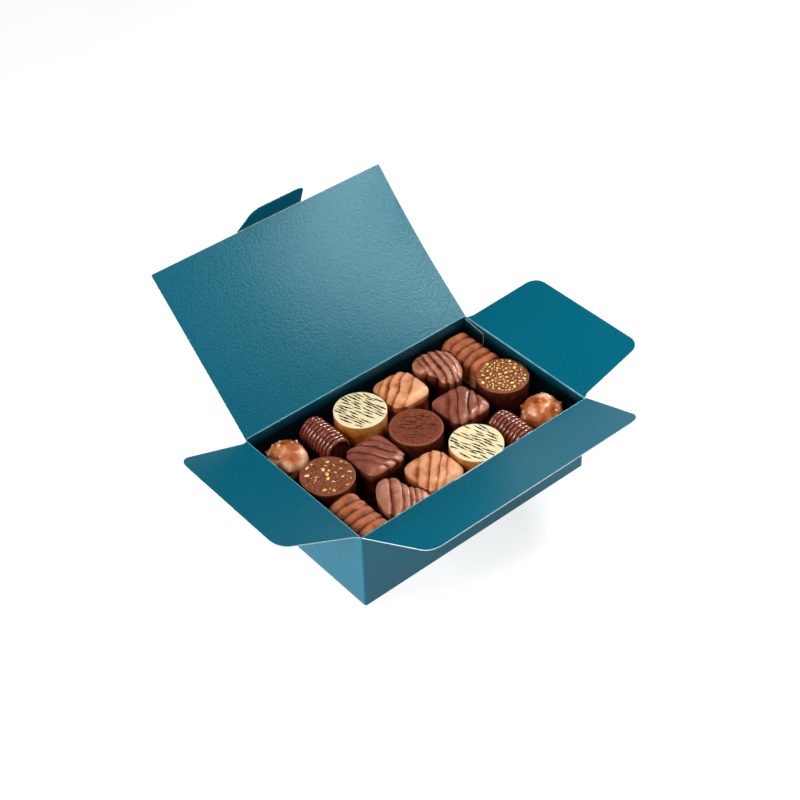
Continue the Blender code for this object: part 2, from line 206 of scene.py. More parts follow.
def lofted(name: str, rings: np.ndarray, relief: np.ndarray, sharp_from: float = 60.0) -> bpy.types.Mesh:
    """A closed mesh through rings of points, with a face across the first ring and across the last.

    Args:
        name: the mesh's name.
        rings: places in metres, as rings x points x 3, counter-clockwise seen from the first ring.
        relief: for each point how far it stands proud, from 0 to 1.
        sharp_from: the angle in degrees from which an edge stays sharp.

    Returns:
        The mesh, shaded smooth.
    """
    count, steps = rings.shape[:2]
    turn = np.arange(steps)
    ahead = (turn + 1) % steps
    faces = [turn.tolist(), (turn[::-1] + (count - 1) * steps).tolist()]
    for k in range(count - 1):
        near, far = k * steps, (k + 1) * steps
        faces += np.stack([turn + near, turn + far, ahead + far, ahead + near], 1).tolist()
    mesh = bpy.data.meshes.new(name)
    mesh.from_pydata(rings.reshape(-1, 3).tolist(), [], faces)
    mesh.shade_smooth()
    mesh.set_sharp_from_angle(angle=math.radians(sharp_from))
    set_relief(mesh, relief.reshape(-1))
    return mesh


def taken_from(bm: bmesh.types.BMesh, name: str, sharp_from: float | None = None) -> bpy.types.Mesh:
    """Turns a bmesh to a mesh that is shaded smooth, and frees it.

    Args:
        bm: the bmesh.
        name: the mesh's name.
        sharp_from: the angle in degrees from which an edge stays sharp, if any does.

    Returns:
        The mesh.
    """
    mesh = bpy.data.meshes.new(name)
    bm.to_mesh(mesh)
    bm.free()
    mesh.shade_smooth()
    if sharp_from is not None:
        mesh.set_sharp_from_angle(angle=math.radians(sharp_from))
    return mesh


def middle_of(points: np.ndarray, node: str) -> Vector:
    """The move that sets a piece where a node is: the middle of its plan and the height of its foot.

    Args:
        points: the piece's places in metres, as made round its own origin.
        node: the node that it stands for.

    Returns:
        The move, in metres.
    """
    low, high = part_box(node)
    flat = points.reshape(-1, 3)
    own_low, own_high = flat.min(axis=0), flat.max(axis=0)
    x, y = ((low[i] + high[i]) / 2 - (own_low[i] + own_high[i]) / 2 for i in (0, 1))
    return Vector((x, y, low.z - own_low[2]))


def show(
    name: str,
    mesh: bpy.types.Mesh,
    materials: Sequence[bpy.types.Material],
    body: str,
    node: str | None = None,
) -> bpy.types.Object:
    """Puts a mesh in the scene as a piece of the object.

    Args:
        name: the piece's name.
        mesh: its mesh, in place.
        materials: its finishes, by material index.
        body: the body that it rides on.
        node: the node that it replaces, if any.

    Returns:
        The new object.
    """
    for finish in materials:
        mesh.materials.append(finish)
    obj = bpy.data.objects.new(name, mesh)
    bpy.context.scene.collection.objects.link(obj)
    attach(obj, body)
    if node:
        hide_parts(node)
    log.info("%s: %d faces, on %s", name, len(mesh.polygons), body)
    return obj


# Finishes


@dataclass(frozen=True)
class PearlescentBoard:
    """Coated folding boxboard, printed in a pearlescent petrol ink and embossed with a leather grain.

    The mica in the ink gives a soft pale sheen, and the grain breaks it into small patches.
    """

    deep: str = "#005a70"
    light: str = "#00667c"
    sheen: str = "#d6fff9"
    painted_shadow: str = "#000a10"  # painted shadow: what the inner walls are darkened to below the rim
    grain: float = 1.3 * MM  # the width of one embossed cell, drawn coarser than real so that it shows
    grain_height: float = 0.24 * MM
    mica: float = 0.9 * MM  # real flakes are under 0.05 mm, and are drawn as clusters that show
    cloud: float = 22 * MM  # the slow unevenness of the printed ink
    tint_span: tuple[float, float] = (0.95, 2.2)  # the sums of the three patterns at deep and at light
    roughness: tuple[float, float] = (0.27, 0.33)
    gloss: float = 0.22  # specular level, where 0.5 is plain
    inside: bool = False  # the walls' inner faces, which get painted shade within a few mm of the rim
    rim_depth: float = 7 * MM
    painted_rim_shade: tuple[float, float] = (0.35, 0.97)  # the share of painted shade at the rim and at rim_depth

    def build(self) -> bpy.types.Material:
        """Makes the material.

        Returns:
            The new material.
        """
        name = "pearlescent petrol boxboard" + (", inner walls" if self.inside else "")
        made, tree, shader = blank_material(name)
        place = add(tree, "ShaderNodeTexCoord").outputs["Object"]
        grain = add(
            tree,
            "ShaderNodeTexNoise",
            {"Vector": place, "Scale": 1 / self.grain, "Detail": 2.0, "Roughness": 0.55, "Distortion": 0.3},
        ).outputs["Fac"]
        mica = add(tree, "ShaderNodeTexNoise", {"Vector": place, "Scale": 1 / self.mica, "Detail": 2.0})
        cloud = add(tree, "ShaderNodeTexNoise", {"Vector": place, "Scale": 1 / self.cloud, "Detail": 3.0})
        slow = add(
            tree, "ShaderNodeMapRange", {"Value": cloud.outputs["Fac"], "To Min": 0.3, "To Max": 0.7}
        )
        mix = add(tree, "ShaderNodeMath", {0: grain, 1: slow.outputs["Result"]}, operation="ADD")
        both = add(tree, "ShaderNodeMath", {0: mix.outputs[0], 1: mica.outputs["Fac"]}, operation="ADD")
        tint = add(
            tree,
            "ShaderNodeMapRange",
            {"Value": both.outputs[0], "From Min": self.tint_span[0], "From Max": self.tint_span[1]},
        )
        colour = add(
            tree,
            "ShaderNodeValToRGB",
            {"Fac": tint.outputs["Result"]},
            stops=[(0.0, self.deep), (1.0, self.light)],
        ).outputs["Color"]
        # the inner walls get painted shade below the rim
        if self.inside:
            colour = self.shaded(tree, place, colour)
        rough = add(
            tree,
            "ShaderNodeMapRange",
            {"Value": grain, **NOISE_SPAN, "To Min": self.roughness[0], "To Max": self.roughness[1]},
        )
        bump = add(
            tree, "ShaderNodeBump", {"Height": grain, "Strength": 0.5, "Distance": self.grain_height}
        )
        surface = {
            "Base Color": colour,
            "Roughness": rough.outputs["Result"],
            "Normal": bump.outputs["Normal"],
            "Specular IOR Level": self.gloss,
            "Specular Tint": self.sheen,
        }
        feed(tree, shader, surface)
        return made

    def shaded(
        self, tree: bpy.types.NodeTree, place: bpy.types.NodeSocket, colour: bpy.types.NodeSocket
    ) -> bpy.types.NodeSocket:
        """Paints shade into a colour, darker with depth below the carton's rim.

        Args:
            tree: the material's node tree.
            place: the object's own coordinates.
            colour: the colour as it is at the rim.

        Returns:
            The darkened colour.
        """
        height = add(tree, "ShaderNodeSeparateXYZ", {0: place}).outputs["Z"]
        depth = {"From Min": CARTON_HEIGHT, "From Max": CARTON_HEIGHT - self.rim_depth}
        shares = {"To Min": self.painted_rim_shade[0], "To Max": self.painted_rim_shade[1]}
        shade = add(tree, "ShaderNodeMapRange", {"Value": height, **depth, **shares})
        mixed = {"Factor": shade.outputs["Result"], 6: colour, 7: self.painted_shadow}
        return add(tree, "ShaderNodeMix", mixed, data_type="RGBA").outputs[2]


@dataclass(frozen=True)
class Mottled:
    """A plain surface whose colour wanders between a few tones, in the soft patches of its pulp."""

    name: str
    patch: float  # the width of one patch
    detail: float
    tones: tuple[tuple[float, str], ...]  # where each tone lies in the noise, and its colour
    surface: dict[str, Any]  # the shader's own sockets

    def build(self) -> bpy.types.Material:
        """Makes the material.

        Returns:
            The new material.
        """
        made, tree, shader = blank_material(self.name)
        place = add(tree, "ShaderNodeTexCoord").outputs["Object"]
        noise_inputs = {"Vector": place, "Scale": 1 / self.patch, "Detail": self.detail}
        patch = add(tree, "ShaderNodeTexNoise", noise_inputs)
        colour = add(tree, "ShaderNodeValToRGB", {"Fac": patch.outputs["Fac"]}, stops=self.tones)
        feed(tree, shader, {"Base Color": colour.outputs["Color"], **self.surface})
        return made


# The bare pulp of die-cut board: matt and off-white with short fibres, so that each cut edge is a pale line.
BOARD_CORE = Mottled(
    "bare board core", 0.6 * MM, 3.0, ((0.3, "#9fb9bd"), (0.62, "#dfe9e8")), {"Roughness": 0.85}
)
# Board on a scored fold: a line that is lighter in places, partly where the stretched ink lets the pulp
# through and partly a painted highlight along the fold.
SCORED_BOARD_HIGHLIGHT = Mottled(
    "scored boxboard with painted highlight",
    9 * MM,
    3.0,
    ((0.2, "#3f8fa2"), (0.8, "#8cc4ce")),
    {"Roughness": 0.45, "Metallic": 0.2},
)
# A near-black matt card below the upper layer, standing in for the lower layer: painted shade, so that the
# gaps between the pralines stay black.
GAP_SHADE_CARD = Mottled(
    "near-black card painted as gap shade",
    0.9 * MM,
    4.0,
    ((0.3, "#080302"), (0.75, "#160a07")),
    {"Roughness": 1.0, "Specular IOR Level": 0.05},
)
# Chopped pistachio dusted golden: waxy and uneven, from cream over yellow to olive at the edges.
GOLDEN_FLAKE = Mottled(
    "golden pistachio flake",
    0.8 * MM,
    2.0,
    ((0.3, "#b8920c"), (0.42, "#f8d42a"), (0.6, "#fff0b4")),
    {"Roughness": 0.4},
)
# A pale paper floor: matt, with a faint unevenness, and lit from within so that it stays clean.
SEAMLESS_PAPER = Mottled(
    "seamless paper",
    120 * MM,
    2.0,
    ((0.3, "#9c9c9c"), (0.7, "#a6a6a6")),
    {"Roughness": 0.9, "Emission Color": "#ffffff", "Emission Strength": 0.8},
)


@dataclass(frozen=True)
class Couverture:
    """Tempered chocolate with cocoa butter, which sets with a skin between satin and high gloss.

    Light enters it a little, so that thin edges and shaded sides glow warm. Its colour follows the relief:
    painted shade darkens the grooves, and a painted highlight lightens the crests.
    """

    name: str
    # groove, body and crest: painted shade in the grooves, the plain colour, and a painted highlight on the
    # crests
    groove: str
    body: str
    crest: str
    roughness: float
    glow: float  # the share of light that is scattered below the surface
    glow_depth: float = 1.2 * MM
    warmth: tuple[float, float, float] = (1.0, 0.35, 0.15)  # how far red, green and blue light scatters
    coat: float = 0.0
    coat_ior: float = 1.6
    coat_roughness: float = 0.2
    ior: float = 1.5
    gloss: float = 0.95  # specular level, where 0.5 is plain
    film: str = "#ffcfae"  # the tint of its highlights, from the cocoa butter at its skin
    dimple: float = 0.12 * MM  # the height of the fine unevenness of the skin
    dimple_size: float = 1.6 * MM
    patch: float = 5 * MM  # the width of the soft patches in its colour
    patch_shift: float = 0.22  # how far a patch moves the colour between groove and crest
    body_level: float = 0.45  # the relief at which the body's colour is pure

    def build(self) -> bpy.types.Material:
        """Makes the material.

        Returns:
            The new material.
        """
        made, tree, shader = blank_material(self.name)
        place = add(tree, "ShaderNodeTexCoord").outputs["Object"]
        # the relief becomes painted shade in the grooves and a painted highlight on the crests
        relief = add(tree, "ShaderNodeAttribute", attribute_name="relief").outputs["Fac"]
        patch = add(tree, "ShaderNodeTexNoise", {"Vector": place, "Scale": 1 / self.patch, "Detail": 4.0})
        shifts = {"To Min": -self.patch_shift, "To Max": self.patch_shift}
        shift = add(tree, "ShaderNodeMapRange", {"Value": patch.outputs["Fac"], **NOISE_SPAN, **shifts})
        level = add(tree, "ShaderNodeMath", {0: relief, 1: shift.outputs["Result"]}, operation="ADD")
        colour = add(
            tree,
            "ShaderNodeValToRGB",
            {"Fac": level.outputs[0]},
            stops=[(0.0, self.groove), (self.body_level, self.body), (1.0, self.crest)],
        )
        fine = {"Vector": place, "Scale": 1 / self.dimple_size, "Detail": 2.0}
        dimple = add(tree, "ShaderNodeTexNoise", fine).outputs["Fac"]
        roughness = {"To Min": 0.85 * self.roughness, "To Max": 1.2 * self.roughness}
        rough = add(tree, "ShaderNodeMapRange", {"Value": dimple, **NOISE_SPAN, **roughness})
        bump = add(tree, "ShaderNodeBump", {"Height": dimple, "Strength": 0.6, "Distance": self.dimple})
        surface = {
            "Base Color": colour.outputs["Color"],
            "Roughness": rough.outputs["Result"],
            "Normal": bump.outputs["Normal"],
            "IOR": self.ior,
            "Subsurface Weight": self.glow,
            "Subsurface Radius": self.warmth,
            "Subsurface Scale": self.glow_depth,
            "Specular IOR Level": self.gloss,
            "Specular Tint": self.film,
            "Coat Weight": self.coat,
            "Coat IOR": self.coat_ior,
            "Coat Roughness": self.coat_roughness,
        }
        feed(tree, shader, surface)
        return made


# Milk chocolate out of a mould: warm tan crests over red-brown grooves, a painted highlight and a painted
# shade, with a satin shine.
MILK_MOULDED = Couverture("moulded milk chocolate", "#581402", "#ae562a", "#f0aa7c", 0.39, 0.12)
# A thin wet coat over chopped nuts: glossy, with its bumps painted pale as a painted highlight.
MILK_ENROBED = Couverture(
    "enrobed milk chocolate", "#561602", "#c46c36", "#ffc49c", 0.34, 0.15, coat=0.15
)
# Milk chocolate that was poured and sagged in folds: softer in shine, painted nearly black between the folds
# as painted shade.
MILK_DRAPED = Couverture("draped milk chocolate", "#360a01", "#8c3e1e", "#cc7a52", 0.42, 0.08, gloss=0.6)
# Dark chocolate out of a mould: wine-brown, with rosy crests that are a painted highlight.
DARK_MOULDED = Couverture("moulded dark chocolate", "#240501", "#622416", "#9a5644", 0.34, 0.04)
# A dark and a milk couverture in one mould: mauve-brown, between the two.
DARK_DROP = Couverture("moulded dark milk chocolate", "#2a0602", "#884430", "#cc8a70", 0.32, 0.04)
# Dark chocolate under a confectioner's glaze: sharp highlights on each ring.
DARK_GLAZED = Couverture(
    "glazed dark chocolate",
    "#140201",
    "#581c12",
    "#8c4030",
    0.24,
    0.03,
    coat=0.6,
    gloss=1.0,
    coat_ior=1.7,
)
# The scraped top of a cast round: dull and crumbly, in fine patches of brown.
DARK_SCRAPED = Couverture(
    "scraped dark chocolate", "#300e06", "#7e3e28", "#985840", 0.5, 0.04, gloss=0.5, patch=1.5 * MM
)
# The side of a cast dark round, which keeps its ring's smooth face: satin, and painted a deeper brown than
# its top as painted shade.
DARK_SIDE_SHADE = Couverture("cast dark chocolate with painted shade", "#100201", "#3a120a", "#6c3020", 0.38, 0.04)
# White chocolate: cream-coloured, and it lets the most light in, so that it looks soft.
WHITE_CAST = Couverture(
    "cast white chocolate", "#efcd84", "#f6e2ae", "#fff3d2", 0.4, 0.3, warmth=(1.0, 0.62, 0.22)
)
# The side of a white round, painted amber to brown towards its foot: painted shade and a painted reflection
# of its brown neighbours.
WHITE_FLANK_SHADE = Couverture(
    "cast white chocolate with painted shade and reflection",
    "#501402",
    "#bc6218",
    "#f6b464",
    0.4,
    0.3,
    warmth=(1.0, 0.5, 0.12),
)
# Cocoa butter with cocoa, printed on: a flat dark film without shine.
COCOA_PRINT = Couverture(
    "printed dark cocoa butter", "#261402", "#321e06", "#44290c", 0.6, 0.0, gloss=0.02
)


# Studio


@dataclass(frozen=True)
class SoftBox:
    """A rectangular soft light that faces the carton."""

    name: str
    heading: tuple[float, float, float]  # from the carton towards the light
    distance: float
    size: tuple[float, float]
    power: float

    def build(self) -> None:
        """Adds the light."""
        data = bpy.data.lights.new(self.name, "AREA")
        data.shape = "RECTANGLE"
        data.size, data.size_y = self.size
        data.energy = self.power
        obj = bpy.data.objects.new(self.name, data)
        way = Vector(self.heading).normalized()
        obj.location = way * self.distance
        obj.rotation_euler = way.to_track_quat("Z", "Y").to_euler()
        bpy.context.scene.collection.objects.link(obj)


@dataclass
class Studio:
    """The camera at the photograph's viewing angle, a pale floor and plain soft light."""

    location: tuple[float, float, float] = (-0.434027, -0.515079, 0.654373)
    azimuth: float = -39.34
    elevation: float = 41.22
    roll: float = -1.833
    lens: float = 75.01
    sensor: float = 36.0
    clip_end: float = 50.0
    floor_half: float = 12.0
    backdrop: tuple[float, float, float] = (0.55, 0.83, 0.0)  # towards the pale wall behind the carton
    backdrop_span: tuple[float, float] = (0.1, 0.9)  # how nearly a direction faces the wall, dark to pale
    backdrop_top: float = 0.42  # the height at which the pale wall has faded into the ceiling
    horizon: tuple[float, float] = (0.16, 0.07)  # the pale band all round the floor, from its top down
    backdrop_level: float = 1.0
    ceiling_level: float = 0.05
    soft_boxes: tuple[SoftBox, ...] = (
        SoftBox("soft_box_right", (0.345, -0.145, 0.472), 0.6, (0.12, 0.12), 2.0),
        SoftBox("soft_box_left", (-0.78, -0.2, 0.68), 0.9, (0.3, 0.3), 3.6),
        SoftBox("soft_box_above", (-0.1, -0.1, 1.0), 1.1, (0.45, 0.45), 2.0),
        SoftBox("soft_box_low", (-1.0, 0.35, 0.05), 0.8, (0.2, 0.5), 8.0),
        SoftBox("soft_box_far", (0.92, 0.2, 0.34), 0.9, (0.2, 0.2), 2.0),
    )

    def build(self) -> None:
        """Adds the camera, the floor, the lights and the plain surroundings."""
        self.camera()
        self.floor()
        for soft_box in self.soft_boxes:
            soft_box.build()
        self.surroundings()

    def camera(self) -> None:
        """Adds the camera."""
        turn, tilt = math.radians(self.azimuth), math.radians(self.elevation)
        level = math.cos(tilt)
        back = Vector((math.sin(turn) * level, -math.cos(turn) * level, math.sin(tilt)))
        right = Vector((math.cos(turn), math.sin(turn), 0.0))
        up = back.cross(right)
        roll = Matrix.Rotation(math.radians(self.roll), 3, "Z")
        pose = Matrix((right, up, back)).transposed() @ roll
        data = bpy.data.cameras.new("camera")
        data.lens = self.lens
        data.sensor_width = self.sensor
        data.clip_end = self.clip_end
        obj = bpy.data.objects.new("camera", data)
        obj.matrix_world = Matrix.Translation(self.location) @ pose.to_4x4()
        bpy.context.scene.collection.objects.link(obj)
        bpy.context.scene.camera = obj

    def floor(self) -> None:
        """Adds the paper floor."""
        half = self.floor_half
        mesh = bpy.data.meshes.new("paper_floor")
        corners = [(-half, -half, 0), (half, -half, 0), (half, half, 0), (-half, half, 0)]
        mesh.from_pydata(corners, [], [(0, 1, 2, 3)])
        mesh.materials.append(SEAMLESS_PAPER.build())
        obj = bpy.data.objects.new("paper_floor", mesh)
        bpy.context.scene.collection.objects.link(obj)

    def surroundings(self) -> None:
        """Sets the plain light from all round, and a view with no film curve."""
        scene = bpy.context.scene
        world = bpy.data.worlds.new("studio")
        world.use_nodes = True
        tree = world.node_tree
        smooth = {"interpolation_type": "SMOOTHSTEP"}
        way = add(tree, "ShaderNodeTexCoord").outputs["Generated"]
        height = add(tree, "ShaderNodeSeparateXYZ", {0: way}).outputs["Z"]
        fading = {"Value": height, "From Min": self.backdrop_top, "From Max": 0.0}
        low = add(tree, "ShaderNodeMapRange", fading, **smooth).outputs["Result"]
        towards = add(tree, "ShaderNodeVectorMath", {0: way, 1: self.backdrop}, operation="DOT_PRODUCT")
        span = {"From Min": self.backdrop_span[0], "From Max": self.backdrop_span[1]}
        facing = {"Value": towards.outputs["Value"], **span}
        behind = add(tree, "ShaderNodeMapRange", facing, **smooth).outputs["Result"]
        both = add(tree, "ShaderNodeMath", {0: low, 1: behind}, operation="MULTIPLY").outputs[0]
        band = {"Value": height, "From Min": self.horizon[0], "From Max": self.horizon[1]}
        horizon = add(tree, "ShaderNodeMapRange", band, **smooth).outputs["Result"]
        most = add(tree, "ShaderNodeMath", {0: both, 1: horizon}, operation="MAXIMUM").outputs[0]
        levels = {"Value": most, "To Min": self.ceiling_level, "To Max": self.backdrop_level}
        level = add(tree, "ShaderNodeMapRange", levels).outputs["Result"]
        feed(tree, tree.nodes["Background"], {"Strength": level, "Color": "#ffffff"})
        scene.world = world
        scene.view_settings.view_transform = "Standard"


# Board


class Face(Enum):
    """The kinds of surface of a piece of board, by material index."""

    PRINTED = 0
    CUT = 1
    INNER = 2


@dataclass
class BoardPiece:
    """A piece of the carton's board, with the form of its node, printed faces and bare cut edges."""

    node: str
    body: str
    finishes: Sequence[bpy.types.Material]
    bow: float = 0.0  # how far the middle of the right edge stands out of plane
    bow_start: float = -30 * MM  # where the bow begins, along X
    bow_rise: float = 1.6  # how late the bow grows towards the right edge
    cell: float = 5 * MM
    weld: float = 0.001 * MM
    sharp_from: float = 5.0  # degrees
    rim: float = 8 * BOARD  # the upward faces within this of the carton's height are cut edges

    def build(self) -> bpy.types.Object:
        """Makes the piece from its node's solid.

        Returns:
            The new object.
        """
        bm = bmesh.new()
        bm.from_mesh(frame["nodes"][self.node].data)
        bmesh.ops.remove_doubles(bm, verts=bm.verts, dist=self.weld)
        bm.normal_update()
        if self.node == "carton":
            for face in bm.faces:
                face.material_index = self.wall_face(face).value
        else:
            plate = max(bm.faces, key=lambda face: face.calc_area()).normal.copy()
            for face in bm.faces:
                printed = abs(face.normal.dot(plate)) > FACING
                face.material_index = (Face.PRINTED if printed else Face.CUT).value
            if self.bow:
                self.bend(bm, plate if plate.z > 0 else -plate)
        name = f"{self.node}_board"
        mesh = taken_from(bm, name, self.sharp_from)
        return show(name, mesh, self.finishes, self.body, self.node)

    def wall_face(self, face: bmesh.types.BMFace) -> Face:
        """The kind of surface of one face of the carton's walls and floor.

        Args:
            face: the face.

        Returns:
            Cut for the rim and the tab's free edge, inner for what faces the pralines, or else printed.
        """
        middle, normal = face.calc_center_median(), face.normal
        if normal.z > FACING and middle.z > CARTON_HEIGHT - self.rim:
            return Face.CUT
        if normal.y < -FACING and abs(middle.y - TAB_EDGE) < BOARD:
            return Face.CUT
        inwards = normal.x * middle.x + normal.y * middle.y < 0
        return Face.INNER if inwards and abs(normal.z) < 0.5 else Face.PRINTED

    def bend(self, bm: bmesh.types.BMesh, plate: Vector) -> None:
        """Bows the piece out of its plane, most at the middle of its right edge.

        Args:
            bm: the piece's mesh.
            plate: the normal of its upper side.
        """
        along = Vector((1, 0, 0)).cross(plate) * -1
        for axis in (Vector((1, 0, 0)), along):
            reach = [vert.co.dot(axis) for vert in bm.verts]
            low, high = min(reach), max(reach)
            for k in range(1, round((high - low) / self.cell)):
                cut = axis * (low + k * self.cell)
                geometry = bm.verts[:] + bm.edges[:] + bm.faces[:]
                bmesh.ops.bisect_plane(bm, geom=geometry, plane_co=cut, plane_no=axis)
        reach = [vert.co.dot(along) for vert in bm.verts]
        low, high = min(reach), max(reach)
        right = max(vert.co.x for vert in bm.verts)
        for vert, place in zip(bm.verts, reach):
            share = min(1, max(0, (vert.co.x - self.bow_start) / (right - self.bow_start)))
            arc = math.sin(math.pi * (place - low) / (high - low))
            vert.co -= plate * self.bow * arc * share**self.bow_rise


@dataclass
class ScoredFold:
    """The rounded bead of a scored fold, which joins a panel to its wall: a lighter line, partly a painted
    highlight.
    """

    name: str
    joint: str
    body: str
    spans: Sequence[tuple[float, float]]  # along the crease, from the joint's place
    radius: float = 0.4 * MM
    sides: int = 12
    sharp_from: float = 40.0  # degrees

    def build(self, finish: bpy.types.Material) -> None:
        """Makes one bead for each span.

        Args:
            finish: the finish of scored board, with its painted highlight.
        """
        record = next(joint for joint in frame["joints"] if joint["name"] == self.joint)
        centre, axis = Vector(record["pos_m"]), Vector(record["axis"])
        turn = axis.to_track_quat("Z", "Y").to_matrix().to_4x4()
        bead = {"cap_ends": True, "segments": self.sides, "radius1": self.radius, "radius2": self.radius}
        for number, (start, end) in enumerate(self.spans):
            bm = bmesh.new()
            bmesh.ops.create_cone(bm, depth=end - start, **bead)
            bm.transform(Matrix.Translation(centre + axis * (start + end) / 2) @ turn)
            name = f"{self.name}_{number}"
            show(name, taken_from(bm, name, self.sharp_from), [finish], self.body)


@dataclass
class Carton:
    """The folding carton: its walls, its lid with the tongue, and its three flaps."""

    half_length: float = 79.7 * MM
    half_width: float = 48 * MM
    half_slit: float = 17.3 * MM
    half_tongue: float = 22 * MM
    lid_bow: float = 2.4 * MM
    panels: Sequence[str] = ("tongue", "front_flap", "left_flap", "right_flap")

    def build(self) -> None:
        """Builds every piece of board and dresses the block below the pralines."""
        # the third finish paints shade onto the inner walls below the rim
        kinds = (PearlescentBoard(), BOARD_CORE, PearlescentBoard(inside=True))
        finishes = [kind.build() for kind in kinds]
        BoardPiece("carton", "box", finishes).build()
        BoardPiece("lid", "lid", finishes, bow=self.lid_bow).build()
        for name in self.panels:
            BoardPiece(name, name, finishes).build()
        # the folds' beads take the scored finish, with its painted highlight
        scored = SCORED_BOARD_HIGHLIGHT.build()
        whole = [(-self.half_length, self.half_length)]
        side = [(-self.half_width, self.half_width)]
        front = [(-self.half_length, -self.half_slit), (self.half_slit, self.half_length)]
        tongue = [(-self.half_tongue, self.half_tongue)]
        for name, body, spans in (
            ("lid", "box", whole),
            ("front", "box", front),
            ("left", "box", side),
            ("right", "box", side),
            ("tongue", "lid", tongue),
        ):
            ScoredFold(f"{name}_fold", f"{name}_crease", body, spans).build(scored)
        # the block below the pralines is painted near-black as the shade in the gaps
        support = frame["nodes"]["layer_support"].data.materials
        support.clear()
        support.append(GAP_SHADE_CARD.build())
        log.info("layer_support: dressed as it is")


# Pralines


def rounded_square(half: float, power: float) -> Radius:
    """The outline of a square with round corners, as a radius for each angle.

    Args:
        half: half its side.
        power: how square it is, from 2 for a circle.

    Returns:
        The radius for each angle.
    """
    return lambda angle: half / (abs(np.cos(angle)) ** power + abs(np.sin(angle)) ** power) ** (1 / power)


def rounded_drop(radii: Sequence[float]) -> Radius:
    """A smooth closed outline through radii at equal angles from +X.

    Args:
        radii: the outline's distances from its origin.

    Returns:
        The radius for each angle.
    """
    knots = np.array(radii)

    def radius(angle: np.ndarray) -> np.ndarray:
        """The distance from the origin to the outline.

        Args:
            angle: angles from +X.

        Returns:
            One distance for each angle.
        """
        place = (angle / math.tau % 1) * len(knots)
        i = place.astype(int)
        t = place - i
        a, b, c, d = (knots[(i + k) % len(knots)] for k in (-1, 0, 1, 2))
        rest = (2 * a - 5 * b + 4 * c - d) * t**2 + (3 * b - a - 3 * c + d) * t**3
        return 0.5 * (2 * b + (c - a) * t + rest)

    return radius


# Each groove between two drapes: its place across them from -1 to 1, its depth from 0 to 1, its width in mm.
MILK_BACK = ((0.72, 0.5, 1.3), (0.4, 1.0, 1.0), (0.05, 0.9, 0.8), (-0.36, 0.6, 1.2))
MILK_FRONT = ((0.55, 0.55, 1.1), (0.16, 0.8, 0.9), (-0.2, 0.75, 0.9), (-0.45, 0.5, 1.0))
DARK_LEFT = ((-0.55, 0.6, 1.0), (-0.2, 0.95, 0.8), (0.16, 0.85, 0.9), (0.5, 0.45, 1.2))
DARK_RIGHT = ((0.45, 0.7, 1.3), (0.12, 0.9, 1.0), (-0.3, 0.95, 1.1), (-0.62, 0.6, 1.0))
DROP_BACK = ((0.62, 0.5, 1.2), (0.36, 0.85, 0.9), (0.02, 0.9, 0.9), (-0.3, 1.0, 0.9), (-0.6, 0.7, 0.9))
DROP_FRONT = ((-0.47, 1.0, 1.0), (-0.07, 0.85, 0.9), (0.2, 0.95, 0.8), (0.42, 1.0, 0.8), (0.67, 0.7, 0.9))
DROP = rounded_drop([r * MM for r in (10.8, 13, 15.2, 15.8, 17, 15.6, 9.8, 10, 14.5, 15, 12, 10.6)])
MILK_SQUARE = rounded_square(13.1 * MM, 3.7)
DARK_SQUARE = rounded_square(12.9 * MM, 4.4)


@dataclass
class Praline:
    """One piece of the upper layer, which stands for the node of its name."""

    node: str

    def settled(self, points: np.ndarray) -> np.ndarray:
        """Moves places made round the piece's own origin to where the node is."""
        return points + np.array(middle_of(points, self.node))

    def serve(self, mesh: bpy.types.Mesh, finishes: Sequence[bpy.types.Material], slot: str) -> None:
        """Puts the praline in the scene in place of its node."""
        show(f"{self.node}_praline", mesh, finishes, "box", self.node)


